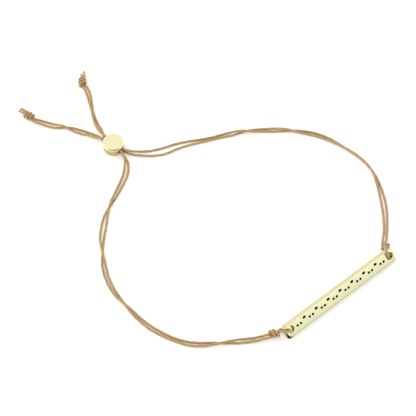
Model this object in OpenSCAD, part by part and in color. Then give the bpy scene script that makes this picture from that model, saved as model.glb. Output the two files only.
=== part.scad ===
// Cord bracelet with an engraved bar and a slider bead, lying on a flat surface.
// Two fine cords are folded double: each is hitched through one end of the bar, knotted beside it,
// carried round its side of the loop and through the bead, and knotted again near its cut ends.
// Millimetres, +Z up, surface at Z = 0, origin in the middle of the wrist opening.

/* [Bar] */
// Length of the bar
bar_l = 40.4; // [40.2:0.1:40.5]
// Width of the bar's face
bar_w = 4.1; // [4:0.1:4.2]
// Thickness of the bar
bar_t = 2; // [1.8:0.05:2]
// Radius of the four corners of the face
corner_r = 0.9; // [0.5:0.1:1.2]
// Radius of the softened long edges
edge_r = 0.25; // [0.1:0.05:0.3]
// Diameter of the hole at each end
hole_d = 2.1; // [2.1:0.05:2.3]
// Distance from a hole's centre to the bar's end
hole_inset = 1.85; // [1.8:0.01:1.87]

/* [Engraved marks] */
// Diameter of a round mark, and width of a long one
mark_d = 0.8; // [0.6:0.05:0.85]
// Overall length of a long mark
dash_l = 1.1; // [1:0.05:1.3]
// Depth of the engraving
mark_depth = 0.2; // [0.1:0.05:0.3]
// Number of pairs of round marks along the bar
pairs = 8; // [4:1:8]
// Distance between the two round marks of a pair
pair_gap = 1.2; // [1.1:0.1:1.4]
// Distance between one pair and the next
pair_pitch = 4.4; // [3.4:0.1:4.4]
// Height of the row of round marks above the middle of the face
row_v = 0.15; // [0:0.05:0.15]
// Height of the row of long marks above the row of round ones
row_gap = 0.95; // [0.9:0.05:1.05]

/* [Slider bead] */
// Diameter of the bead
bead_d = 6.3; // [6:0.1:6.4]
// Height of the bead
bead_h = 3.3; // [3.2:0.1:3.5]
// Radius of its rounded rims
rim_r = 0.4; // [0.2:0.1:0.5]
// Diameter of the bore that the four strands share
bore_d = 2.25; // [2.2:0.05:2.4]

/* [Cord] */
// Diameter of the cord
cord_d = 0.75; // [0.7:0.01:0.78]
// Distance from one turn of a knot to the next
turn_pitch = 0.95; // [0.93:0.01:0.97]

/* [Hidden] */

GOLD = [0.93, 0.88, 0.68];
TAN = [0.76, 0.61, 0.41];
FINE = 64;
EPS = 0.01;
SIDES = 8;
cord_r = cord_d / 2;
// Radius of a knot's end turns to the cord's middle, how far its middle stands out past them, and the
// radius of the bend into and out of it
turn_r = 0.85;
bulge = 0.15;
EASE_R = 0.7;

// The bar stands rolled on its lower long edge, its face outwards.
bar_yaw = 39;
bar_roll = 52;
bar_z = (bar_w / 2 - edge_r) * sin(bar_roll) + (bar_t / 2 - edge_r) * cos(bar_roll) + edge_r;
bar_at = [25.43, -19.44, bar_z];
hole_u = bar_l / 2 - hole_inset;
// The holes are a little above the middle of the face.
hole_v = 0.45;

// The bead stands on its flat face, its bore level and as high as the strands in it.
bead_at = [-39.3, 30.3, 0];
bore_yaw = -41;
bore_z = cord_r + 1.25;

// Route of each pair of strands from its tail knot to its bar knot.
// Columns: x and y of the middle of the pair, its lift above lying on the surface, gap across from strand b
// to strand a (positive when a is on the left of the way to the bar), rise of strand a above strand b.
RIGHT_ROUTE = [
    [-48.2, 50.8, 0.75, -1, 0],
    [-47.6, 49.4, 0.3, -1, 0],
    [-47.15, 47.8, 0.05, -0.95, 0],
    [-46.7, 45.6, 0, -0.7, 0.5],
    [-46.15, 43.1, 0, -0.4, 0.85],
    [-45.5, 40.6, 0, -0.6, 0.65],
    [-44.5, 38, 0.15, -0.9, 0.2],
    [-43.2, 35.4, 0.5, -0.8, 0.5],
    [-42.05, 33.4, 0.8, -0.05, 0.9],
    [-41.25, 32.7, 0.8, 0, 0.9],
    [-39, 30.65, 0.8, 0, 0.9],
    [-36.75, 28.7, 0.8, 0, 0.9],
    [-34.4, 27.9, 0.45, 0.5, 0.8],
    [-31.9, 27.9, 0.15, 1.1, 0.35],
    [-28.4, 28.1, 0, 1.75, 0],
    [-24.5, 28.9, 0, 2.2, 0],
    [-20.8, 30.5, 0, 1.85, 0],
    [-17, 31.7, 0, 1.4, 0],
    [-13.1, 32.6, 0, 1, 0],
    [-9.3, 33.6, 0, 0.85, 0],
    [-6.4, 34.45, 0, 1, 0.1],
    [-3.6, 35.05, 0, 0.75, 0.6],
    [-1.1, 35.6, 0, -0.05, 0.95],
    [1.8, 36.05, 0, -0.75, 0.5],
    [5, 36.3, 0, -0.85, 0],
    [8.5, 36.25, 0, -0.75, -0.5],
    [12, 36.1, 0, -0.05, -1],
    [15.6, 35.8, 0, 0.85, -0.5],
    [19, 35.25, 0, 0.95, 0],
    [22.3, 34.2, 0, 0.95, 0],
    [25.7, 32.4, 0, 0.8, -0.35],
    [29, 30.1, 0, 0.5, -0.7],
    [32.2, 27.6, 0, 0.3, -0.85],
    [35, 24.75, 0, 0.3, -0.85],
    [37.1, 21.5, 0, 0.4, -0.8],
    [38.4, 17.8, 0, 0.8, -0.45],
    [39.25, 13.9, 0, 1.15, 0],
    [39.8, 9.9, 0, 1.3, 0],
    [39.95, 5.9, 0, 1.1, 0],
    [39.8, 2.2, 0.05, 0.95, 0],
    [39.5, 0, 0.4, 0.95, 0],
    [39.2, -1.9, 0.85, 1.05, 0]];

LEFT_ROUTE = [
    [-62.75, 39.2, 0.8, 1, 0],
    [-61.1, 38.95, 0.3, 1.1, 0],
    [-59, 38.3, 0.05, 1.3, 0],
    [-56.7, 37.65, 0, 0.95, 0.4],
    [-54.6, 37.3, 0, 0.05, 0.95],
    [-52.4, 36.8, 0, -0.95, 0.4],
    [-49.6, 35.8, 0, -1.25, 0.1],
    [-46.6, 34.65, 0.15, -1.15, 0.4],
    [-44.2, 33.4, 0.5, -0.9, 0.5],
    [-42.75, 32.55, 0.8, -0.05, 0.9],
    [-41.85, 31.95, 0.8, 0, 0.9],
    [-39.6, 29.95, 0.8, 0, 0.9],
    [-37.35, 28, 0.8, 0, 0.9],
    [-36.5, 27.1, 0.75, -0.1, 0.9],
    [-35.5, 25.1, 0.4, -0.6, 0.75],
    [-35.3, 22.9, 0.15, -1.15, 0.35],
    [-35.7, 20.2, 0, -1.3, 0],
    [-36.85, 17, 0, -1.15, 0],
    [-38.3, 13.3, 0, -0.85, 0.4],
    [-39.7, 9.9, 0, -0.05, 1],
    [-40.8, 6.4, 0, 1.05, 0.4],
    [-41.4, 2.4, 0, 1.4, 0],
    [-41.7, -1.6, 0, 1.05, -0.4],
    [-41.4, -5.6, 0, 0.05, -1],
    [-40.9, -9.6, 0, -0.95, -0.4],
    [-39.9, -13.6, 0, -1.05, 0],
    [-38.2, -17.4, 0, -0.95, 0],
    [-36.5, -20, 0, -0.8, 0.4],
    [-34.6, -22.3, 0, -0.35, 0.8],
    [-32.6, -24.5, 0, -0.8, 0.4],
    [-30.5, -26.7, 0, -0.85, 0],
    [-27.4, -29.4, 0, -1, 0],
    [-24, -31.5, 0, -0.95, 0],
    [-20.5, -33.2, 0, -0.85, 0],
    [-16.7, -34.4, 0, -1.05, 0],
    [-13.3, -34.7, 0, -1.05, 0.1],
    [-9.9, -34.55, 0, -0.85, 0.5],
    [-6.4, -34.3, 0, -0.05, 1],
    [-3, -33.85, 0, 0.85, 0.5],
    [-0.2, -33.5, 0.1, 1.05, 0.1],
    [2.4, -33.15, 0.4, 1, 0],
    [4.75, -32.7, 0.85, 1, 0]];

// Knots: the middle of the coil in plan, the way from the strands into it, the angles round the core that
// the winding strand starts and ends at, and how far its turns lean along the core for each unit across it.
RIGHT_TAIL = [[-49.5, 53.4], 98, [180, 1260], -0.4];
LEFT_TAIL = [[-65, 40.9], 147, [0, 900], 0.4];
RIGHT_BAR = [[39.3, -4.3], -92, [720, 180], -0.4];
LEFT_BAR = [[6.9, -31.8], 14, [990, 180], -0.4];

// Cut ends past the tail knots: strand a's, then strand b's, as distance along the knot's core, to its left
// and up.
RIGHT_TIPS = [[[2.5, 0.05, -0.1], [3, 0.15, -0.3]], [[3, -0.8, -0.2], [4.1, -0.7, -0.5]]];
LEFT_TIPS = [[[2.7, 0, -0.2], [3.9, -0.1, -0.5]], [[2.7, -0.95, -0.2], [3.9, -1, -0.5]]];

// Hitches through the bar's holes, from the knot's core to its coil. The right one comes through its hole
// from behind, goes up the face and back over the bar's upper edge. The left one comes round the bar's end
// on to the face and goes back through its hole.
// Columns: along the bar from the hole's middle, up the face, out of the face.
RIGHT_HITCH = [
    [0.85, 0.2, -1.85],
    [0.3, 0, -1.35],
    [-0.2, -0.05, -0.6],
    [-0.4, 0, 0.2],
    [-0.5, 0.1, 0.95],
    [-0.6, 0.45, 1.45],
    [-0.65, 1, 1.6],
    [-0.6, 1.7, 1.55],
    [-0.4, 2.15, 1.05],
    [0, 2.25, 0.2],
    [0.5, 2.3, -0.6],
    [1, 2, -1.35],
    [2, 1, -1.6]];
LEFT_HITCH = [
    [-2.45, 0.1, -1.4],
    [-2.35, 0.4, -0.5],
    [-2.35, 0.6, 0.5],
    [-2.2, 0.7, 1.2],
    [-1.75, 0.6, 1.55],
    [-1.1, 0.35, 1.55],
    [-0.65, 0.1, 1.3],
    [-0.45, 0, 0.6],
    [-0.4, 0, -0.4],
    [-0.5, 0, -1.2],
    [-0.8, 0, -1.75],
    [-1.35, -0.1, -2.3],
    [-2.1, -0.2, -2.6]];

function unit(v) = v / norm(v);
function flat_left(d) = unit([-d[1], d[0], 0]);
function plan(deg) = [cos(deg), sin(deg), 0];

// Rows between the rows of a route, on a smooth curve through them
function smooth(p, steps) = [
    for (i = [0 : len(p) - 2], k = [0 : steps - 1])
        let (a = p[max(i - 1, 0)], b = p[i], c = p[i + 1], d = p[min(i + 2, len(p) - 1)], t = k / steps)
            0.5 * (2 * b + (c - a) * t + (2 * a - 5 * b + 4 * c - d) * t * t
                + (3 * b - 3 * c + d - a) * t * t * t),
    p[len(p) - 1]];

// One strand of a pair: side is 1 for strand a and -1 for strand b
function strand(route, side) = [
    for (i = [0 : len(route) - 1])
        let (r = route[i], ahead = route[min(i + 1, len(route) - 1)] - route[max(i - 1, 0)],
             z = cord_r + max(r[2], 0) + abs(r[4]) / 2)
            [r[0], r[1], z] + side * (flat_left(ahead) * r[3] / 2 + [0, 0, r[4] / 2])];

// A point given from the middle of a knot: along its core, to the left of it, up
function at_knot(knot, p) =
    let (way = plan(knot[1]))
        [knot[0][0], knot[0][1], cord_r + turn_r + bulge] + way * p[0] + flat_left(way) * p[1] + [0, 0, p[2]];

// A strand wound round a knot's core from one angle to another. It turns out along the core at its end,
// and in at its start when ease is 1.
function coil(knot, way, ease) =
    let (spin = knot[2][1] > knot[2][0] ? 1 : -1, lead = spin * EASE_R / turn_r * 180 / PI,
         a = knot[2][0] + ease * lead, b = knot[2][1] - lead,
         n = round(abs(b - a) / 42), l = turn_pitch * abs(b - a) / 360,
         rows = concat(
             ease == 1 ? [for (p = [0, 30, 60]) [a - lead * cos(p), -l / 2 - EASE_R * (1 - sin(p))]] : [],
             [for (j = [0 : n]) [a + (b - a) * j / n, (j / n - 0.5) * l]],
             [for (p = [60, 30, 0]) [b + lead * cos(p), l / 2 + EASE_R * (1 - sin(p))]]))
        [for (r = rows) let (reach = turn_r + bulge * max(0, cos(180 * r[1] / l)), across = reach * cos(r[0]))
            at_knot(knot, [way * r[1] + knot[3] * across, across, reach * sin(r[0])])];

// A point given in the bar's own directions, measured from the middle of one of its holes
function on_bar(hole, p) =
    let (u = hole * hole_u + p[0], v = hole_v + p[1], w = p[2],
         x = u, y = v * cos(bar_roll) - w * sin(bar_roll), z = v * sin(bar_roll) + w * cos(bar_roll))
        bar_at + [x * cos(bar_yaw) - y * sin(bar_yaw), x * sin(bar_yaw) + y * cos(bar_yaw), z];

function core(knot, along) = at_knot(knot, [along, 0, 0]);
function reversed(list) = [for (i = [len(list) - 1 : -1 : 0]) list[i]];

// Centre line of a whole cord in four stretches: strand a with its cut end, the bar knot with its hitch,
// strand b, and the tail knot with its cut end.
function stretch_a(route, tail, tips) =
    concat([for (p = reversed(tips[0])) at_knot(tail, p)],
           [core(tail, 1.6), core(tail, 0), core(tail, -1.6)], strand(smooth(route, 2), 1));
function stretch_bar(bar_knot, hitch, hole, turns) =
    let (inner = [core(bar_knot, -0.1), core(bar_knot, 0.9)], loop = [for (p = hitch) on_bar(hole, p)])
        concat([core(bar_knot, -1.4)], smooth(concat(inner, loop, [turns[0]]), 2),
               [for (i = [1 : len(turns) - 1]) turns[i]]);
function stretch_b(route) = reversed(strand(smooth(route, 2), -1));
function stretch_tail(tail, tips) = concat(coil(tail, 1, 1), [for (p = tips[1]) at_knot(tail, p)]);

right_1 = stretch_a(RIGHT_ROUTE, RIGHT_TAIL, RIGHT_TIPS);
right_2 = stretch_bar(RIGHT_BAR, RIGHT_HITCH, 1, coil(RIGHT_BAR, -1, 0));
right_3 = stretch_b(RIGHT_ROUTE);
right_4 = stretch_tail(RIGHT_TAIL, RIGHT_TIPS);
left_1 = stretch_a(LEFT_ROUTE, LEFT_TAIL, LEFT_TIPS);
left_2 = stretch_bar(LEFT_BAR, LEFT_HITCH, -1, coil(LEFT_BAR, -1, 0));
left_3 = stretch_b(LEFT_ROUTE);
left_4 = stretch_tail(LEFT_TAIL, LEFT_TIPS);

function direction(p, i) = unit(p[min(i + 1, len(p) - 1)] - p[max(i - 1, 0)]);

// Side vectors of the rings, each carried on from the one before without twist
function sides_of(p, i = 0, list = []) =
    i == len(p) ? list :
    let (t = direction(p, i), before = i == 0 ? cross(t, [0.3, 0.2, 1]) : list[i - 1])
        sides_of(p, i + 1, concat(list, [unit(before - t * (before * t))]));

// A tube along the points from one index to another of a whole cord
module tube(p, sides, first, last) {
    n = last - first + 1;
    rings = [for (i = [first : last], k = [0 : SIDES - 1])
        let (s = sides[i], u = cross(direction(p, i), s), a = (k + 0.5) * 360 / SIDES)
            p[i] + cord_r * (cos(a) * s + sin(a) * u)];
    skin = [for (i = [0 : n - 2], k = [0 : SIDES - 1], half = [0, 1])
        let (m = (k + 1) % SIDES, a = i * SIDES, b = a + SIDES)
            half == 0 ? [a + k, b + k, b + m] : [a + k, b + m, a + m]];
    ends = [[for (k = [0 : SIDES - 1]) k], [for (k = [SIDES - 1 : -1 : 0]) (n - 1) * SIDES + k]];
    polyhedron(rings, concat(skin, ends), convexity = 6);
}

// Where the four stretches of a cord meet
function cuts(one, two, three, whole) =
    [0, len(one), len(one) + len(two) - 1, len(one) + len(two) + len(three) - 1, len(whole) - 1];

right_cord = concat(right_1, right_2, right_3, right_4);
right_sides = sides_of(right_cord);
right_cuts = cuts(right_1, right_2, right_3, right_cord);
left_cord = concat(left_1, left_2, left_3, left_4);
left_sides = sides_of(left_cord);
left_cuts = cuts(left_1, left_2, left_3, left_cord);

module right_stretch(k) {
    color(TAN) tube(right_cord, right_sides, right_cuts[k], right_cuts[k + 1]);
}

module left_stretch(k) {
    color(TAN) tube(left_cord, left_sides, left_cuts[k], left_cuts[k + 1]);
}

// Rectangle with rounded corners, in the XY plane about the origin
module soft_rectangle(w, h, r) {
    square([w - 2 * r, h], center = true);
    square([w, h - 2 * r], center = true);
    for (x = [-1, 1], y = [-1, 1]) translate([x * (w / 2 - r), y * (h / 2 - r)]) circle(r, $fn = FINE);
}

module bar_blank() {
    intersection() {
        translate([0, 0, -bar_t]) linear_extrude(2 * bar_t) soft_rectangle(bar_l, bar_w, corner_r);
        rotate([90, 0, 90]) translate([0, 0, -bar_l]) linear_extrude(2 * bar_l)
            soft_rectangle(bar_w, bar_t, edge_r);
    }
}

module round_mark(x) {
    translate([x, row_v, bar_t / 2 - mark_depth]) cylinder(d = mark_d, h = mark_depth + EPS, $fn = FINE);
}

module long_mark(x) {
    translate([x, row_v + row_gap, bar_t / 2 - mark_depth]) linear_extrude(mark_depth + EPS)
        soft_rectangle(dash_l, mark_d, mark_d / 2 - EPS);
}

module marks() {
    for (i = [0 : pairs - 1]) {
        x = (i - (pairs - 1) / 2) * pair_pitch;
        round_mark(x - pair_gap / 2);
        round_mark(x + pair_gap / 2);
        if (i > 0) long_mark(x - pair_pitch / 2);
    }
}

module bar() {
    color(GOLD) translate(bar_at) rotate([0, 0, bar_yaw]) rotate([bar_roll, 0, 0]) difference() {
        bar_blank();
        for (side = [-1, 1]) translate([side * hole_u, hole_v, -bar_t])
            cylinder(d = hole_d, h = 2 * bar_t, $fn = FINE);
        marks();
    }
}

module slider_bead() {
    color(GOLD) translate(bead_at) difference() {
        rotate_extrude($fn = FINE) {
            square([bead_d / 2 - rim_r, bead_h]);
            translate([0, rim_r]) square([bead_d / 2, bead_h - 2 * rim_r]);
            for (y = [rim_r, bead_h - rim_r]) translate([bead_d / 2 - rim_r, y]) circle(rim_r, $fn = FINE);
        }
        translate([0, 0, bore_z]) rotate([0, 90, bore_yaw])
            cylinder(d = bore_d, h = 2 * bead_d, center = true, $fn = FINE);
    }
}

module right_cord_a() { right_stretch(0); }
module right_bar_knot() { right_stretch(1); }
module right_cord_b() { right_stretch(2); }
module right_tail_knot() { right_stretch(3); }
module left_cord_a() { left_stretch(0); }
module left_bar_knot() { left_stretch(1); }
module left_cord_b() { left_stretch(2); }
module left_tail_knot() { left_stretch(3); }

bar();
slider_bead();
right_cord_a();
right_cord_b();
left_cord_a();
left_cord_b();
right_bar_knot();
left_bar_knot();
right_tail_knot();
left_tail_knot();
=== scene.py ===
import math

import bpy
from mathutils import Matrix, Vector


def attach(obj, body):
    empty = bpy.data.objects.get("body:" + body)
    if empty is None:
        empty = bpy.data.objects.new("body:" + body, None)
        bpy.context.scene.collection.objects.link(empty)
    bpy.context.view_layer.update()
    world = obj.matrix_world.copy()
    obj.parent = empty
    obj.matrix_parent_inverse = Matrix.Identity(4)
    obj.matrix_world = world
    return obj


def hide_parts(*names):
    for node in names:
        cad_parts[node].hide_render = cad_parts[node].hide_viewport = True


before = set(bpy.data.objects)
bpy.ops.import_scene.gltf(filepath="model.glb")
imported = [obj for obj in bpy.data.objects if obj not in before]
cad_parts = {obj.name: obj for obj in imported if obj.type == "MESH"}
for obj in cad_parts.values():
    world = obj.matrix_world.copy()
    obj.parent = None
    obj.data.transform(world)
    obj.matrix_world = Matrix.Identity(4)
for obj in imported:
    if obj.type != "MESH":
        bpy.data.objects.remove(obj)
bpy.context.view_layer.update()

# Camera. It looks down on the bracelet from in front, about 45 cm away, with a long lens, as a product shot
# on a table is taken.
camera = bpy.data.objects.new("Camera", bpy.data.cameras.new("Camera"))
bpy.context.scene.collection.objects.link(camera)
camera.location = (-0.0113, -0.22232, 0.38573)
camera.rotation_euler = (math.radians(31), 0, 0)
camera.data.lens = 134.08
camera.data.sensor_width = 36
camera.data.clip_start = 0.01
bpy.context.scene.camera = camera

# The two cords. Each is one length of fine waxed polyester cord, three plies twisted together, hitched at its
# middle through one end of the bar. Its two strands are laid side by side round half of the loop, through the
# bead, and on to a knot at their cut ends.
CORD_R = 0.000375
TURN_PITCH = 0.00095
TURN_R = 0.00085
BULGE = 0.00015
EASE_R = 0.0007
PLIES = 3
PLY_TWIST = 0.0027
PLY_DEPTH = 0.06
RING_SIDES = 18
RING_STEP = 0.0002
TAIL_CORE = (0.0016, 0, -0.0016)
BAR_CORE = (-0.0014, -0.0001, 0.0009)
TURN_POINTS_EVERY = math.radians(42)
TIP_CUT, TIP_ROUNDING = 0.75, 0.00015
TIP_SWELL, TIP_SEALED = 0.18, 0.0003

BAR_L, BAR_W, BAR_T = 0.0404, 0.0041, 0.002
EDGE_R = 0.00025
BAR_YAW, BAR_ROLL = math.radians(39), math.radians(52)
BAR_Z = (BAR_W / 2 - EDGE_R) * math.sin(BAR_ROLL) + (BAR_T / 2 - EDGE_R) * math.cos(BAR_ROLL) + EDGE_R
BAR_PLACE = (Matrix.Translation((0.02543, -0.01944, BAR_Z)) @ Matrix.Rotation(BAR_YAW, 4, "Z")
             @ Matrix.Rotation(BAR_ROLL, 4, "X"))
HOLE_U = BAR_L / 2 - 0.00185
HOLE_V = 0.00045

# Route of each pair of strands from its tail knot to its bar knot: x and y of the middle of the pair, its
# lift above lying on the surface, gap across from strand b to strand a, rise of strand a above strand b.
RIGHT_ROUTE = (
    (-0.0482, 0.0508, 0.00075, -0.001, 0),
    (-0.0476, 0.0494, 0.0003, -0.001, 0),
    (-0.04715, 0.0478, 0.00005, -0.00095, 0),
    (-0.0467, 0.0456, 0, -0.0007, 0.0005),
    (-0.04615, 0.0431, 0, -0.0004, 0.00085),
    (-0.0455, 0.0406, 0, -0.0006, 0.00065),
    (-0.0445, 0.038, 0.00015, -0.0009, 0.0002),
    (-0.0432, 0.0354, 0.0005, -0.0008, 0.0005),
    (-0.04205, 0.0334, 0.0008, -0.00005, 0.0009),
    (-0.04125, 0.0327, 0.0008, 0, 0.0009),
    (-0.039, 0.03065, 0.0008, 0, 0.0009),
    (-0.03675, 0.0287, 0.0008, 0, 0.0009),
    (-0.0344, 0.0279, 0.00045, 0.0005, 0.0008),
    (-0.0319, 0.0279, 0.00015, 0.0011, 0.00035),
    (-0.0284, 0.0281, 0, 0.00175, 0),
    (-0.0245, 0.0289, 0, 0.0022, 0),
    (-0.0208, 0.0305, 0, 0.00185, 0),
    (-0.017, 0.0317, 0, 0.0014, 0),
    (-0.0131, 0.0326, 0, 0.001, 0),
    (-0.0093, 0.0336, 0, 0.00085, 0),
    (-0.0064, 0.03445, 0, 0.001, 0.0001),
    (-0.0036, 0.03505, 0, 0.00075, 0.0006),
    (-0.0011, 0.0356, 0, -0.00005, 0.00095),
    (0.0018, 0.03605, 0, -0.00075, 0.0005),
    (0.005, 0.0363, 0, -0.00085, 0),
    (0.0085, 0.03625, 0, -0.00075, -0.0005),
    (0.012, 0.0361, 0, -0.00005, -0.001),
    (0.0156, 0.0358, 0, 0.00085, -0.0005),
    (0.019, 0.03525, 0, 0.00095, 0),
    (0.0223, 0.0342, 0, 0.00095, 0),
    (0.0257, 0.0324, 0, 0.0008, -0.00035),
    (0.029, 0.0301, 0, 0.0005, -0.0007),
    (0.0322, 0.0276, 0, 0.0003, -0.00085),
    (0.035, 0.02475, 0, 0.0003, -0.00085),
    (0.0371, 0.0215, 0, 0.0004, -0.0008),
    (0.0384, 0.0178, 0, 0.0008, -0.00045),
    (0.03925, 0.0139, 0, 0.00115, 0),
    (0.0398, 0.0099, 0, 0.0013, 0),
    (0.03995, 0.0059, 0, 0.0011, 0),
    (0.0398, 0.0022, 0.00005, 0.00095, 0),
    (0.0395, 0, 0.0004, 0.00095, 0),
    (0.0392, -0.0019, 0.00085, 0.00105, 0))
LEFT_ROUTE = (
    (-0.06275, 0.0392, 0.0008, 0.001, 0),
    (-0.0611, 0.03895, 0.0003, 0.0011, 0),
    (-0.059, 0.0383, 0.00005, 0.0013, 0),
    (-0.0567, 0.03765, 0, 0.00095, 0.0004),
    (-0.0546, 0.0373, 0, 0.00005, 0.00095),
    (-0.0524, 0.0368, 0, -0.00095, 0.0004),
    (-0.0496, 0.0358, 0, -0.00125, 0.0001),
    (-0.0466, 0.03465, 0.00015, -0.00115, 0.0004),
    (-0.0442, 0.0334, 0.0005, -0.0009, 0.0005),
    (-0.04275, 0.03255, 0.0008, -0.00005, 0.0009),
    (-0.04185, 0.03195, 0.0008, 0, 0.0009),
    (-0.0396, 0.02995, 0.0008, 0, 0.0009),
    (-0.03735, 0.028, 0.0008, 0, 0.0009),
    (-0.0365, 0.0271, 0.00075, -0.0001, 0.0009),
    (-0.0355, 0.0251, 0.0004, -0.0006, 0.00075),
    (-0.0353, 0.0229, 0.00015, -0.00115, 0.00035),
    (-0.0357, 0.0202, 0, -0.0013, 0),
    (-0.03685, 0.017, 0, -0.00115, 0),
    (-0.0383, 0.0133, 0, -0.00085, 0.0004),
    (-0.0397, 0.0099, 0, -0.00005, 0.001),
    (-0.0408, 0.0064, 0, 0.00105, 0.0004),
    (-0.0414, 0.0024, 0, 0.0014, 0),
    (-0.0417, -0.0016, 0, 0.00105, -0.0004),
    (-0.0414, -0.0056, 0, 0.00005, -0.001),
    (-0.0409, -0.0096, 0, -0.00095, -0.0004),
    (-0.0399, -0.0136, 0, -0.00105, 0),
    (-0.0382, -0.0174, 0, -0.00095, 0),
    (-0.0365, -0.02, 0, -0.0008, 0.0004),
    (-0.0346, -0.0223, 0, -0.00035, 0.0008),
    (-0.0326, -0.0245, 0, -0.0008, 0.0004),
    (-0.0305, -0.0267, 0, -0.00085, 0),
    (-0.0274, -0.0294, 0, -0.001, 0),
    (-0.024, -0.0315, 0, -0.00095, 0),
    (-0.0205, -0.0332, 0, -0.00085, 0),
    (-0.0167, -0.0344, 0, -0.00105, 0),
    (-0.0133, -0.0347, 0, -0.00105, 0.0001),
    (-0.0099, -0.03455, 0, -0.00085, 0.0005),
    (-0.0064, -0.0343, 0, -0.00005, 0.001),
    (-0.003, -0.03385, 0, 0.00085, 0.0005),
    (-0.0002, -0.0335, 0.0001, 0.00105, 0.0001),
    (0.0024, -0.03315, 0.0004, 0.001, 0),
    (0.00475, -0.0327, 0.00085, 0.001, 0))

# Knots: the middle of the coil in plan, the way from the strands into it, the angles round the core that the
# winding strand starts and ends at, and how far its turns lean along the core for each unit across it.
RIGHT_TAIL = ((-0.0495, 0.0534), 98, (180, 1260), -0.4)
LEFT_TAIL = ((-0.065, 0.0409), 147, (0, 900), 0.4)
RIGHT_BAR = ((0.0393, -0.0043), -92, (720, 180), -0.4)
LEFT_BAR = ((0.0069, -0.0318), 14, (990, 180), -0.4)

# Cut ends past the tail knots: strand a's, then strand b's, as distance along the knot's core, to its left
# and up.
RIGHT_TIPS = (((0.0025, 0.00005, -0.0001), (0.003, 0.00015, -0.0003)),
              ((0.003, -0.0008, -0.0002), (0.0041, -0.0007, -0.0005)))
LEFT_TIPS = (((0.0027, 0, -0.0002), (0.0039, -0.0001, -0.0005)),
             ((0.0027, -0.00095, -0.0002), (0.0039, -0.001, -0.0005)))

# Hitches through the bar's holes, from the knot's core to the coil: along the bar from the hole's middle, up
# the face, out of the face.
RIGHT_HITCH = (
    (0.00085, 0.0002, -0.00185),
    (0.0003, 0, -0.00135),
    (-0.0002, -0.00005, -0.0006),
    (-0.0004, 0, 0.0002),
    (-0.0005, 0.0001, 0.00095),
    (-0.0006, 0.00045, 0.00145),
    (-0.00065, 0.001, 0.0016),
    (-0.0006, 0.0017, 0.00155),
    (-0.0004, 0.00215, 0.00105),
    (0, 0.00225, 0.0002),
    (0.0005, 0.0023, -0.0006),
    (0.001, 0.002, -0.00135),
    (0.002, 0.001, -0.0016))
LEFT_HITCH = (
    (-0.00245, 0.0001, -0.0014),
    (-0.00235, 0.0004, -0.0005),
    (-0.00235, 0.0006, 0.0005),
    (-0.0022, 0.0007, 0.0012),
    (-0.00175, 0.0006, 0.00155),
    (-0.0011, 0.00035, 0.00155),
    (-0.00065, 0.0001, 0.0013),
    (-0.00045, 0, 0.0006),
    (-0.0004, 0, -0.0004),
    (-0.0005, 0, -0.0012),
    (-0.0008, 0, -0.00175),
    (-0.00135, -0.0001, -0.0023),
    (-0.0021, -0.0002, -0.0026))


def smooth(points, steps):
    """The points, with more between them on a smooth curve.

    steps is how many to each gap, or the length between them.
    """
    out = []
    for i in range(len(points) - 1):
        a, b = Vector(points[max(i - 1, 0)]), Vector(points[i])
        c, d = Vector(points[i + 1]), Vector(points[min(i + 2, len(points) - 1)])
        count = steps if steps >= 1 else max(1, round((c - b).length / steps))
        for k in range(count):
            t = k / count
            out.append(0.5 * (2 * b + (c - a) * t + (2 * a - 5 * b + 4 * c - d) * t * t
                              + (3 * b - 3 * c + d - a) * t * t * t))
    return out + [Vector(points[-1])]


def leftward(way):
    return Vector((-way.y, way.x, 0)).normalized()


def strand(route, side):
    """One strand of a pair along its route. side is 1 for strand a and -1 for strand b."""
    rows, out = smooth(route, 2), []
    for i, (x, y, lift, gap, rise) in enumerate(rows):
        ahead = rows[min(i + 1, len(rows) - 1)] - rows[max(i - 1, 0)]
        across = leftward(Vector(ahead[:3])) * gap / 2
        middle = Vector((x, y, CORD_R + max(lift, 0) + abs(rise) / 2))
        out.append(middle + side * (across + Vector((0, 0, rise / 2))))
    return out


def at_knot(knot, point):
    """A place given from the middle of a knot, as distance along its core, to the left of it, and up."""
    way = Vector((math.cos(math.radians(knot[1])), math.sin(math.radians(knot[1])), 0))
    middle = Vector((*knot[0], CORD_R + TURN_R + BULGE))
    return middle + way * point[0] + leftward(way) * point[1] + Vector((0, 0, point[2]))


def coil(knot, way, ease):
    """A strand wound round a knot's core.

    It turns out along the core at its end, and in at its start if ease is 1.
    """
    start, end = (math.radians(angle) for angle in knot[2])
    lead = math.copysign(EASE_R / TURN_R, end - start)
    start, end = start + ease * lead, end - lead
    count = int(abs(end - start) / TURN_POINTS_EVERY + 0.5)
    half = TURN_PITCH * abs(end - start) / math.tau / 2
    turn_in = [(start - lead * math.cos(math.radians(p)), -half - EASE_R * (1 - math.sin(math.radians(p))))
               for p in (0, 30, 60)]
    turns = [(start + (end - start) * j / count, (2 * j / count - 1) * half) for j in range(count + 1)]
    turn_out = [(end + lead * math.cos(math.radians(p)), half + EASE_R * (1 - math.sin(math.radians(p))))
                for p in (60, 30, 0)]
    places = []
    for angle, along in ease * turn_in + turns + turn_out:
        reach = TURN_R + BULGE * max(0, math.cos(math.pi / 2 * along / half))
        across = reach * math.cos(angle)
        places.append(at_knot(knot, (way * along + knot[3] * across, across, reach * math.sin(angle))))
    return places


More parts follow.
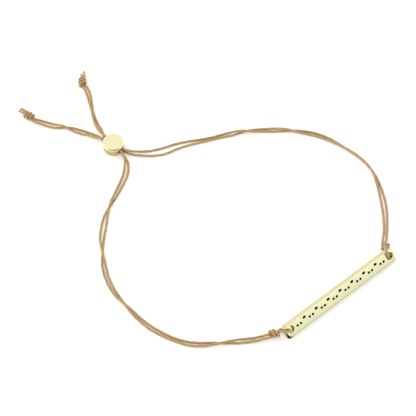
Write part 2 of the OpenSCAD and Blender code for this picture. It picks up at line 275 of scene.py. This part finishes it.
def whole_cord(route, tail, bar_knot, tips, hitch, hole):
    """Centre line of a whole cord in four stretches: strand a, the bar knot, strand b and the tail knot."""
    on_bar = [BAR_PLACE @ Vector((hole * HOLE_U + u, HOLE_V + v, w)) for u, v, w in hitch]
    turns = coil(bar_knot, -1, 0)
    strand_a = ([at_knot(tail, tip) for tip in reversed(tips[0])]
                + [at_knot(tail, (along, 0, 0)) for along in TAIL_CORE] + strand(route, 1))
    core = [at_knot(bar_knot, (along, 0, 0)) for along in BAR_CORE]
    bar_tie = core[:1] + smooth(core[1:] + on_bar + turns[:1], 2) + turns[1:]
    tail_tie = coil(tail, 1, 1) + [at_knot(tail, tip) for tip in tips[1]]
    return [strand_a, bar_tie, list(reversed(strand(route, -1))), tail_tie]


def rings_along(stretches):
    """Ring centres, their side vectors and distances along a whole cord, and where the stretches meet."""
    points = [point for stretch in stretches for point in stretch]
    fine = smooth(points, RING_STEP)
    counts = [max(1, round((points[i + 1] - points[i]).length / RING_STEP)) for i in range(len(points) - 1)]
    place = [0]
    for count in counts:
        place.append(place[-1] + count)
    to_bar, bar_tie, back = (len(stretch) for stretch in stretches[:3])
    cuts = [0, place[to_bar], place[to_bar + bar_tie - 1], place[to_bar + bar_tie + back - 1], len(fine) - 1]
    run, sides, side = [0.0], [], Vector((0.3, 0.2, 1))
    for i, point in enumerate(fine):
        way = (fine[min(i + 1, len(fine) - 1)] - fine[max(i - 1, 0)]).normalized()
        side = (side - way * side.dot(way)).normalized()
        sides.append((side.copy(), way.cross(side)))
        if i:
            run.append(run[-1] + (point - fine[i - 1]).length)
    return fine, sides, run, cuts


def lay_cord(name, cord, stretch):
    """A twisted cord over one stretch, closed at both ends, mapped by turns round it and distance along it."""
    line, sides, run, cuts = cord
    first, last = cuts[stretch], cuts[stretch + 1]
    sealed_start, sealed_end = first == 0, last == len(line) - 1
    corners, faces, maps = [], [], []
    for i in range(first, last + 1):
        tip = min(run[i] if sealed_start else 1, run[-1] - run[i] if sealed_end else 1)
        rounding = TIP_CUT + (1 - TIP_CUT) * min(tip / TIP_ROUNDING, 1) ** 0.5
        swelling = 1 + TIP_SWELL * max(0, 1 - abs(tip - TIP_SEALED) / TIP_SEALED)
        turn = math.tau * run[i] / PLY_TWIST
        for k in range(RING_SIDES):
            angle = math.tau * k / RING_SIDES
            groove = 0.5 - 0.5 * math.cos(PLIES * angle - turn)
            radius = CORD_R * rounding * swelling * (1 - PLY_DEPTH * groove ** 2 * min(tip / TIP_SEALED, 1))
            corners.append(line[i] + radius * (math.cos(angle) * sides[i][0] + math.sin(angle) * sides[i][1]))
    count = last - first + 1
    for i in range(count - 1):
        for k in range(RING_SIDES):
            here, there, beside = i * RING_SIDES, (i + 1) * RING_SIDES, (k + 1) % RING_SIDES
            faces.append((here + k, here + beside, there + beside, there + k))
            left, right = k / RING_SIDES, (k + 1) / RING_SIDES
            low, high = run[first + i] / PLY_TWIST, run[first + i + 1] / PLY_TWIST
            maps += [(left, low), (right, low), (right, high), (left, high)]
    for i, back in ((0, True), (count - 1, False)):
        loop = [i * RING_SIDES + k for k in range(RING_SIDES)]
        faces.append(tuple(reversed(loop)) if back else tuple(loop))
        maps += [(0.5, run[first + i] / PLY_TWIST)] * RING_SIDES
    mesh = bpy.data.meshes.new(name)
    mesh.from_pydata(corners, [], faces)
    layer = mesh.uv_layers.new(name="Along")
    for loop, place in zip(layer.data, maps):
        loop.uv = place
    mesh.materials.append(cord_finish.material)
    obj = bpy.data.objects.new(name, mesh)
    bpy.context.scene.collection.objects.link(obj)
    for poly in mesh.polygons[:-2]:
        poly.use_smooth = True
    rims = {key for cap in mesh.polygons[-2:] for key in cap.edge_keys}
    for edge in mesh.edges:
        edge.use_edge_sharp = edge.key in rims
    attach(obj, "root")
    return obj


class Value:
    """A shader socket that takes part in sums written as plain expressions."""

    def __init__(self, finish, socket):
        self.finish, self.socket = finish, socket

    def maths(self, operation, *values):
        return self.finish.node("Math", {"operation": operation}, dict(enumerate(values)))

    def __add__(self, other): return self.maths("ADD", self, other)
    def __radd__(self, other): return self.maths("ADD", other, self)
    def __sub__(self, other): return self.maths("SUBTRACT", self, other)
    def __rsub__(self, other): return self.maths("SUBTRACT", other, self)
    def __mul__(self, other): return self.maths("MULTIPLY", self, other)
    def __rmul__(self, other): return self.maths("MULTIPLY", other, self)
    def __truediv__(self, other): return self.maths("DIVIDE", self, other)
    def __rtruediv__(self, other): return self.maths("DIVIDE", other, self)
    def __pow__(self, other): return self.maths("POWER", self, other)


class Finish:
    """A material with one Principled shader, and the nodes that lead to it."""

    def __init__(self, name, **sockets):
        self.material = bpy.data.materials.new(name)
        self.material.use_nodes = True
        self.tree = self.material.node_tree
        self.tree.nodes.clear()
        sockets = {key.replace("_", " "): value for key, value in sockets.items()}
        shader = self.node("BsdfPrincipled", {}, sockets)
        self.shader = shader.socket.node
        self.node("OutputMaterial", {}, {"Surface": shader}, output=None)

    def node(self, kind, settings, sockets, output=0):
        """A node of that kind. Its settings are set first, and then the values or links of its sockets."""
        made = self.tree.nodes.new("ShaderNode" + kind)
        for key, value in settings.items():
            if key == "stops":
                stops = made.color_ramp.elements
                while len(stops) < len(value):
                    stops.new(0.5)
                for stop, (position, colour) in zip(stops, value):
                    stop.position, stop.color = position, colour
            else:
                setattr(made, key, value)
        for key, value in sockets.items():
            self.put(made, key, value)
        return None if output is None else Value(self, made.outputs[output])

    def put(self, made, key, value):
        if isinstance(value, Value):
            self.tree.links.new(value.socket, made.inputs[key])
        else:
            made.inputs[key].default_value = value

    def feed(self, key, value):
        self.put(self.shader, key, value)

    def limit(self, value):
        """The value, held between 0 and 1."""
        return self.node("Clamp", {}, {"Value": value})

    def blend(self, factor, low, high):
        """One colour turning into another as factor goes from 0 to 1."""
        settings = {"data_type": "RGBA", "clamp_factor": True}
        return self.node("Mix", settings, {0: factor, 6: low, 7: high}, output=2)

    def along_axis(self, place, axis):
        return self.node("SeparateXYZ", {}, {0: place}, output=axis)

    def noise(self, place, scale, detail=3.0, **sockets):
        return self.node("TexNoise", {}, {"Vector": place, "Scale": scale, "Detail": detail, **sockets})

    def relief(self, height, strength, distance=0.00004):
        bump = {"Strength": strength, "Distance": distance, "Height": height}
        self.feed("Normal", self.node("Bump", {}, bump))

    def object_place(self):
        return self.node("TexCoord", {}, {}, output="Object")


cord_finish = Finish("Waxed tan cord", Roughness=0.5, Specular_IOR_Level=0.5, Sheen_Weight=0.15,
                     Sheen_Roughness=0.4)
around = cord_finish.node("UVMap", {"uv_map": "Along"}, {})
turns = cord_finish.along_axis(around, "X")
along = cord_finish.along_axis(around, "Y")
twist = (turns * PLIES - along) * math.tau
groove = 0.5 - 0.5 * twist.maths("COSINE", twist)
fibre_place = cord_finish.node("CombineXYZ", {}, {"X": turns * 3 - along, "Y": along * 0.35})
fibre = cord_finish.noise(fibre_place, 9.0, Roughness=0.6)
mottle = cord_finish.noise(cord_finish.object_place(), 260.0, 2.0)
tan_light, tan_deep, painted_groove_shade = (0.54, 0.37, 0.165, 1), (0.42, 0.265, 0.09, 1), (0.16, 0.08, 0.02, 1)
shade = cord_finish.blend((fibre - 0.5) * 0.9 + (mottle - 0.5) * 0.8 + 0.5, tan_deep, tan_light)
# painted shade: the grooves between the twisted plies are painted a darker brown, deeper where the groove is
# deeper
cord_finish.feed("Base Color", cord_finish.blend(groove ** 3 * 0.5, shade, painted_groove_shade))
cord_finish.feed("Roughness", 0.42 + (fibre - 0.5) * 0.2)
cord_finish.relief(fibre - groove * 0.5, 0.35, 0.00003)

right_cord = rings_along(whole_cord(RIGHT_ROUTE, RIGHT_TAIL, RIGHT_BAR, RIGHT_TIPS, RIGHT_HITCH, 1))
left_cord = rings_along(whole_cord(LEFT_ROUTE, LEFT_TAIL, LEFT_BAR, LEFT_TIPS, LEFT_HITCH, -1))

for side, cord in (("right", right_cord), ("left", left_cord)):
    bar_tie = lay_cord(side + "_bar_tie", cord, 1)
    tail_tie = lay_cord(side + "_tail_tie", cord, 3)
    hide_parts(side + "_bar_knot")
    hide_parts(side + "_tail_knot")
    line, _, run, cuts = cord
    for letter, stretch in (("a", 0), ("b", 2)):
        piece = lay_cord(f"{side}_strand_{letter}", cord, stretch)
        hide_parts(f"{side}_cord_{letter}")
        path = line[cuts[stretch]:cuts[stretch + 1] + 1]
        if letter == "a":
            path = path[::-1]
        run[cuts[stretch + 1]] - run[cuts[stretch]]

# The bar. It is a solid brass plate with rounded corners, gold plated and polished. A row of small marks is
# engraved in its face and filled with black enamel, and a hole is drilled through each end for the cord.
HOLE_D = 0.0021
HOLE_RIM_R = 0.00012
CORNER_R = 0.0009
ON_RIM = 0.00002
MARK_D, DASH_L, MARK_DEPTH = 0.0008, 0.0011, 0.0002
PAIRS, PAIR_GAP, PAIR_PITCH = 8, 0.0012, 0.0044
ROW_V, ROW_GAP = 0.00015, 0.00095


def deselect():
    if bpy.context.object and bpy.context.object.mode == "EDIT":
        bpy.ops.object.mode_set(mode="OBJECT")
    bpy.ops.object.select_all(action="DESELECT")


def bevel_where(obj, chosen, offset, segments):
    """Rounds the edges that chosen says yes to, from the places of their two ends."""
    deselect()
    obj.select_set(True)
    bpy.context.view_layer.objects.active = obj
    bpy.ops.object.mode_set(mode="EDIT")
    bpy.ops.mesh.select_mode(type="EDGE")
    bpy.ops.mesh.select_all(action="DESELECT")
    bpy.ops.object.mode_set(mode="OBJECT")
    mesh = obj.data
    for edge in mesh.edges:
        edge.select = chosen(mesh.vertices[edge.vertices[0]].co, mesh.vertices[edge.vertices[1]].co)
    bpy.ops.object.mode_set(mode="EDIT")
    bpy.ops.mesh.bevel(offset=offset, segments=segments, affect="EDGES", profile=0.5)
    bpy.ops.object.mode_set(mode="OBJECT")


def cut_with(obj, cutter):
    """Cuts one solid out of another, and throws the cutter away."""
    deselect()
    obj.select_set(True)
    bpy.context.view_layer.objects.active = obj
    cut = obj.modifiers.new("Cut", "BOOLEAN")
    cut.operation, cut.object, cut.solver = "DIFFERENCE", cutter, "EXACT"
    bpy.ops.object.modifier_apply(modifier=cut.name)
    bpy.data.objects.remove(cutter)


def joined(parts):
    deselect()
    for part in parts:
        part.select_set(True)
    bpy.context.view_layer.objects.active = parts[0]
    bpy.ops.object.join()
    return parts[0]


def drill(x, y, diameter, depth_from, depth_to, sides=64):
    deselect()
    bpy.ops.mesh.primitive_cylinder_add(vertices=sides, radius=diameter / 2, depth=depth_to - depth_from,
                                        location=(x, y, (depth_from + depth_to) / 2))
    return bpy.context.object


def even_shading(obj):
    """Shades flat faces flat, and only the rounded edges between them round."""
    deselect()
    obj.select_set(True)
    bpy.context.view_layer.objects.active = obj
    bpy.ops.object.shade_smooth_by_angle(angle=math.radians(35))
    even = obj.modifiers.new("Even shading", "WEIGHTED_NORMAL")
    even.keep_sharp = True
    even.weight = 100
    bpy.ops.object.modifier_apply(modifier=even.name)


def settle(obj, place):
    """Sets a finished piece in its place, with the place in its mesh."""
    obj.matrix_world = place
    deselect()
    obj.select_set(True)
    bpy.context.view_layer.objects.active = obj
    bpy.ops.object.transform_apply(location=True, rotation=True, scale=True)


deselect()
bpy.ops.mesh.primitive_cube_add(size=1, location=(0, 0, 0))
bar = bpy.context.object
bar.name = bar.data.name = "gold_bar"
bar.scale = (BAR_L, BAR_W, BAR_T)
bpy.ops.object.transform_apply(scale=True)
bevel_where(bar, lambda a, b: abs(a.z - b.z) > 0.001, CORNER_R, 8)
bevel_where(bar, lambda a, b: abs(a.z - b.z) < 1e-6, EDGE_R, 4)
cut_with(bar, joined([drill(side * HOLE_U, HOLE_V, HOLE_D, -BAR_T, BAR_T) for side in (-1, 1)]))


def on_hole_rim(a, b):
    return all(abs(math.hypot(abs(p.x) - HOLE_U, p.y - HOLE_V) - HOLE_D / 2) < ON_RIM
               and abs(abs(p.z) - BAR_T / 2) < ON_RIM for p in (a, b))


bevel_where(bar, on_hole_rim, HOLE_RIM_R, 3)
marks = []
for i in range(PAIRS):
    x = (i - (PAIRS - 1) / 2) * PAIR_PITCH
    for side in (-1, 1):
        marks.append(drill(x + side * PAIR_GAP / 2, ROW_V, MARK_D, BAR_T / 2 - MARK_DEPTH, BAR_T, 24))
    if i:
        dash = drill(x - PAIR_PITCH / 2, ROW_V + ROW_GAP, MARK_D, BAR_T / 2 - MARK_DEPTH, BAR_T, 24)
        for corner in dash.data.vertices:
            corner.co.x += math.copysign((DASH_L - MARK_D) / 2, corner.co.x + 1e-9)
        marks.append(dash)
cut_with(bar, joined(marks))


def handled(finish):
    """The fine unevenness of a polished surface that has been worn, in its shine and its relief."""
    wear = finish.noise(finish.object_place(), 420.0)
    finish.feed("Roughness", 0.1 + wear * 0.12)
    finish.relief(wear, 0.12)


def bar_coordinates(finish):
    """Places along the bar, up its face and out of its face, from the bar's middle."""
    return finish.node("Mapping", {"vector_type": "TEXTURE"}, {
        "Vector": finish.object_place(), "Location": BAR_PLACE.to_translation(),
        "Rotation": (BAR_ROLL, 0, BAR_YAW)})


# its face, with painted shade that deepens its gold towards the lower edge, and a painted dark reflection
# along the low left corner
PAINTED_DARK_REACH, DARK_FADE = 0.0017, 0.0001
TAPER_UP_END, TAPER_ALONG_EDGE = 0.52, 0.72
face_finish = Finish("Polished gold face", Metallic=1.0, Roughness=0.14)
on_face = bar_coordinates(face_finish)
from_end = face_finish.along_axis(on_face, "X") + BAR_L / 2
from_low_edge = face_finish.along_axis(on_face, "Y") + BAR_W / 2
# painted dark reflection: the face is painted near black along its low left corner
past_end = from_end.maths("MAXIMUM", CORNER_R - from_end, 0)
past_edge = from_end.maths("MAXIMUM", CORNER_R - from_low_edge, 0)
from_outline = CORNER_R - (past_end * past_end + past_edge * past_edge) ** 0.5
on_front = face_finish.limit(face_finish.along_axis(on_face, "Z") / DARK_FADE)
painted_dark_width = PAINTED_DARK_REACH - TAPER_UP_END * from_low_edge - TAPER_ALONG_EDGE * from_end
painted_dark_reflection = face_finish.limit((painted_dark_width - from_outline) / DARK_FADE)
# painted shade: the face's gold darkens towards its lower edge, with a painted dark line along that edge
face_gold_painted_shade = face_finish.node("ValToRGB", {"stops": [
    (0, (0.45, 0.44, 0.32, 1)), (0.07, (0.56, 0.55, 0.39, 1)), (0.14, (0.74, 0.73, 0.44, 1)),
    (0.3, (0.83, 0.81, 0.5, 1)), (0.62, (0.88, 0.85, 0.54, 1)), (1, (0.95, 0.91, 0.61, 1))]},
    {"Fac": from_low_edge / BAR_W})
face_finish.feed("Base Color", face_finish.blend(painted_dark_reflection * on_front, face_gold_painted_shade, (0.02, 0.015, 0.004, 1)))
handled(face_finish)

# its long sides and ends, as sawn, with their gold painted darker than the face as painted shade
side_finish = Finish("Gold plate on sawn sides", Metallic=1.0, Roughness=0.28)
saw_place = side_finish.node("VectorMath", {"operation": "MULTIPLY"},
                             {0: bar_coordinates(side_finish), 1: (1, 6, 6)})
saw_lines = side_finish.noise(saw_place, 500.0)
# painted shade: the sides' gold is darker than the face's; the saw lines are their own texture
side_finish.feed("Base Color", side_finish.blend(saw_lines, (0.6, 0.58, 0.3, 1), (0.75, 0.73, 0.42, 1)))
side_finish.relief(saw_lines, 0.2)

# two of its long edges, and what is turned, left a little duller, with their gold painted deep as painted
# shade
turned_finish = Finish("Gold plate on turned brass", Metallic=1.0, Roughness=0.22)
tool_place = turned_finish.node("VectorMath", {"operation": "MULTIPLY"},
                                {0: turned_finish.object_place(), 1: (0.4, 0.4, 3)})
tool_lines = turned_finish.noise(tool_place, 900.0, 2.0)
# painted shade: this gold is painted much darker than the face's; the tool lines are its own texture
turned_finish.feed("Base Color", turned_finish.blend(tool_lines, (0.4, 0.3, 0.11, 1), (0.6, 0.5, 0.25, 1)))
turned_finish.feed("Roughness", 0.16 + tool_lines * 0.14)

# the walls and rims of its holes, painted deep gold as painted shade, with a painted dark shade on their far
# side
hole_finish = Finish("Gold plate in the holes", Metallic=1.0, Roughness=0.12)
in_hole = bar_coordinates(hole_finish)
drill_place = hole_finish.node("VectorMath", {"operation": "MULTIPLY"}, {0: in_hole, 1: (0.5, 0.5, 4)})
hole_lines = hole_finish.noise(drill_place, 900.0, 2.0)
u = hole_finish.along_axis(in_hole, "X")
v = hole_finish.along_axis(in_hole, "Y")
far_side = ((u - u.maths("SIGN", u) * HOLE_U) * 0.8 + (v - HOLE_V) * 0.6) / (HOLE_D / 2)
bright_wall = hole_finish.blend(hole_lines, (0.42, 0.36, 0.1, 1), (0.78, 0.72, 0.3, 1))
# painted shade: a dark crescent on the far side of each hole
painted_hole_shade = hole_finish.limit((far_side - 0.3) / 0.45)
hole_finish.feed("Base Color", hole_finish.blend(painted_hole_shade, bright_wall, (0.09, 0.07, 0.01, 1)))
hole_finish.feed("Roughness", 0.06 + hole_lines * 0.1)

enamel_finish = Finish("Black enamel", Base_Color=(0.002, 0.002, 0.002, 1), Roughness=0.6,
                       Specular_IOR_Level=0.05)
FACE, SIDE, HOLE, ENAMEL, EDGE = range(5)
for finish in (face_finish, side_finish, hole_finish, enamel_finish, turned_finish):
    bar.data.materials.append(finish.material)
for poly in bar.data.polygons:
    x, y, z = poly.center
    below_face = BAR_T / 2 - z
    from_hole = math.hypot(abs(x) - HOLE_U, y - HOLE_V) - HOLE_D / 2
    flat, upright = abs(poly.normal.z) > 0.98, abs(poly.normal.z) < 0.1
    in_mark_row = abs(x) < HOLE_U and abs(y) < BAR_W / 2 - 0.0004 and from_hole > 2 * HOLE_RIM_R
    if in_mark_row and 0.00005 < below_face < MARK_DEPTH + 0.0001:
        poly.material_index = ENAMEL
    elif upright:
        poly.material_index = HOLE if from_hole < HOLE_RIM_R else SIDE
    elif z > 0 and from_hole < 2 * HOLE_RIM_R and not flat:
        poly.material_index = HOLE
    # the lower edge of the face and the upper edge of the back take the turned finish, whose darker gold
    # paints a shade line along them
    elif not flat and abs(y) > BAR_W / 2 - EDGE_R and (z < 0) == (y > 0):
        poly.material_index = EDGE
    else:
        poly.material_index = FACE
settle(bar, BAR_PLACE)
even_shading(bar)
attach(bar, "root")
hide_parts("bar")

# The slider bead. It is turned from brass rod with rounded rims, gold plated like the bar, and drilled
# across for the four strands that it slides on.
BEAD_D, BEAD_H, RIM_R = 0.0063, 0.0033, 0.0004
BORE_D, BORE_RIM_R = 0.00225, 0.0001
BORE_Z = CORD_R + 0.00125
BEAD_PLACE = Matrix.Translation((-0.0393, 0.0303, 0)) @ Matrix.Rotation(math.radians(-41), 4, "Z")

deselect()
bpy.ops.mesh.primitive_cylinder_add(vertices=96, radius=BEAD_D / 2, depth=BEAD_H, location=(0, 0, BEAD_H / 2))
bead = bpy.context.object
bead.name = bead.data.name = "gold_bead"
bpy.ops.object.transform_apply(location=True)
bevel_where(bead, lambda a, b: abs(a.z - b.z) < 1e-6, RIM_R, 6)
deselect()
bpy.ops.mesh.primitive_cylinder_add(vertices=64, radius=BORE_D / 2, depth=2 * BEAD_D, location=(0, 0, BORE_Z),
                                    rotation=(0, math.pi / 2, 0))
cut_with(bead, bpy.context.object)


def from_bore(p):
    """Distance from the bore's middle line."""
    return math.hypot(p.y, p.z - BORE_Z)


def on_bore_rim(a, b):
    return all(abs(from_bore(p) - BORE_D / 2) < ON_RIM and math.hypot(p.x, p.y) > BEAD_D / 2 - ON_RIM
               for p in (a, b))


bevel_where(bead, on_bore_rim, BORE_RIM_R, 3)
gold_finish = Finish("Polished gold plate", Metallic=1.0, Base_Color=(0.94, 0.89, 0.55, 1), Roughness=0.14)
handled(gold_finish)
bead.data.materials.append(gold_finish.material)
bead.data.materials.append(turned_finish.material)
# the bead's side and bore take the turned finish, whose darker gold is painted shade
for poly in bead.data.polygons:
    poly.material_index = int(abs(poly.normal.z) < 0.1 or from_bore(poly.center) < BORE_D / 2)
settle(bead, BEAD_PLACE)
even_shading(bead)
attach(bead, "root")
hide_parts("slider_bead")

# Floor and light. The bracelet lies on white board that is lit a little from below, in the light of a large
# soft box on its left and of a white room, with the dark of the camera and its stand over it.
deselect()
bpy.ops.mesh.primitive_plane_add(size=4, location=(0, 0, 0))
floor = bpy.context.object
floor.name = "floor"
floor_finish = Finish("Light table", Base_Color=(0.9, 0.9, 0.9, 1), Roughness=0.7,
                      Emission_Color=(1, 1, 1, 1), Emission_Strength=0.25)
floor.data.materials.append(floor_finish.material)

world = bpy.data.worlds.new("Room")
world.use_nodes = True
background = world.node_tree.nodes["Background"]
background.inputs["Color"].default_value = (1, 1, 1, 1)
background.inputs["Strength"].default_value = 0.98
bpy.context.scene.world = world
bpy.context.scene.view_settings.view_transform = "Standard"

deselect()
bpy.ops.mesh.primitive_circle_add(vertices=64, radius=0.35, fill_type="NGON",
                                  location=camera.matrix_basis @ Vector((0, 0, 0.05)),
                                  rotation=camera.rotation_euler)
hood = bpy.context.object
hood.name = "camera_shade"
hood_finish = Finish("Black card", Base_Color=(0.01, 0.01, 0.01, 1), Roughness=0.9)
hood.data.materials.append(hood_finish.material)
hood.visible_camera = hood.visible_diffuse = hood.visible_shadow = False

soft_box = bpy.data.objects.new("Soft box", bpy.data.lights.new("Soft box", "AREA"))
soft_box.data.shape, soft_box.data.size, soft_box.data.energy = "SQUARE", 0.8, 5.0
soft_box.location = (-0.8, 0.35, 0.75)
soft_box.rotation_euler = (-soft_box.location).to_track_quat("-Z", "Y").to_euler()
soft_box.visible_camera = soft_box.visible_glossy = False
bpy.context.scene.collection.objects.link(soft_box)
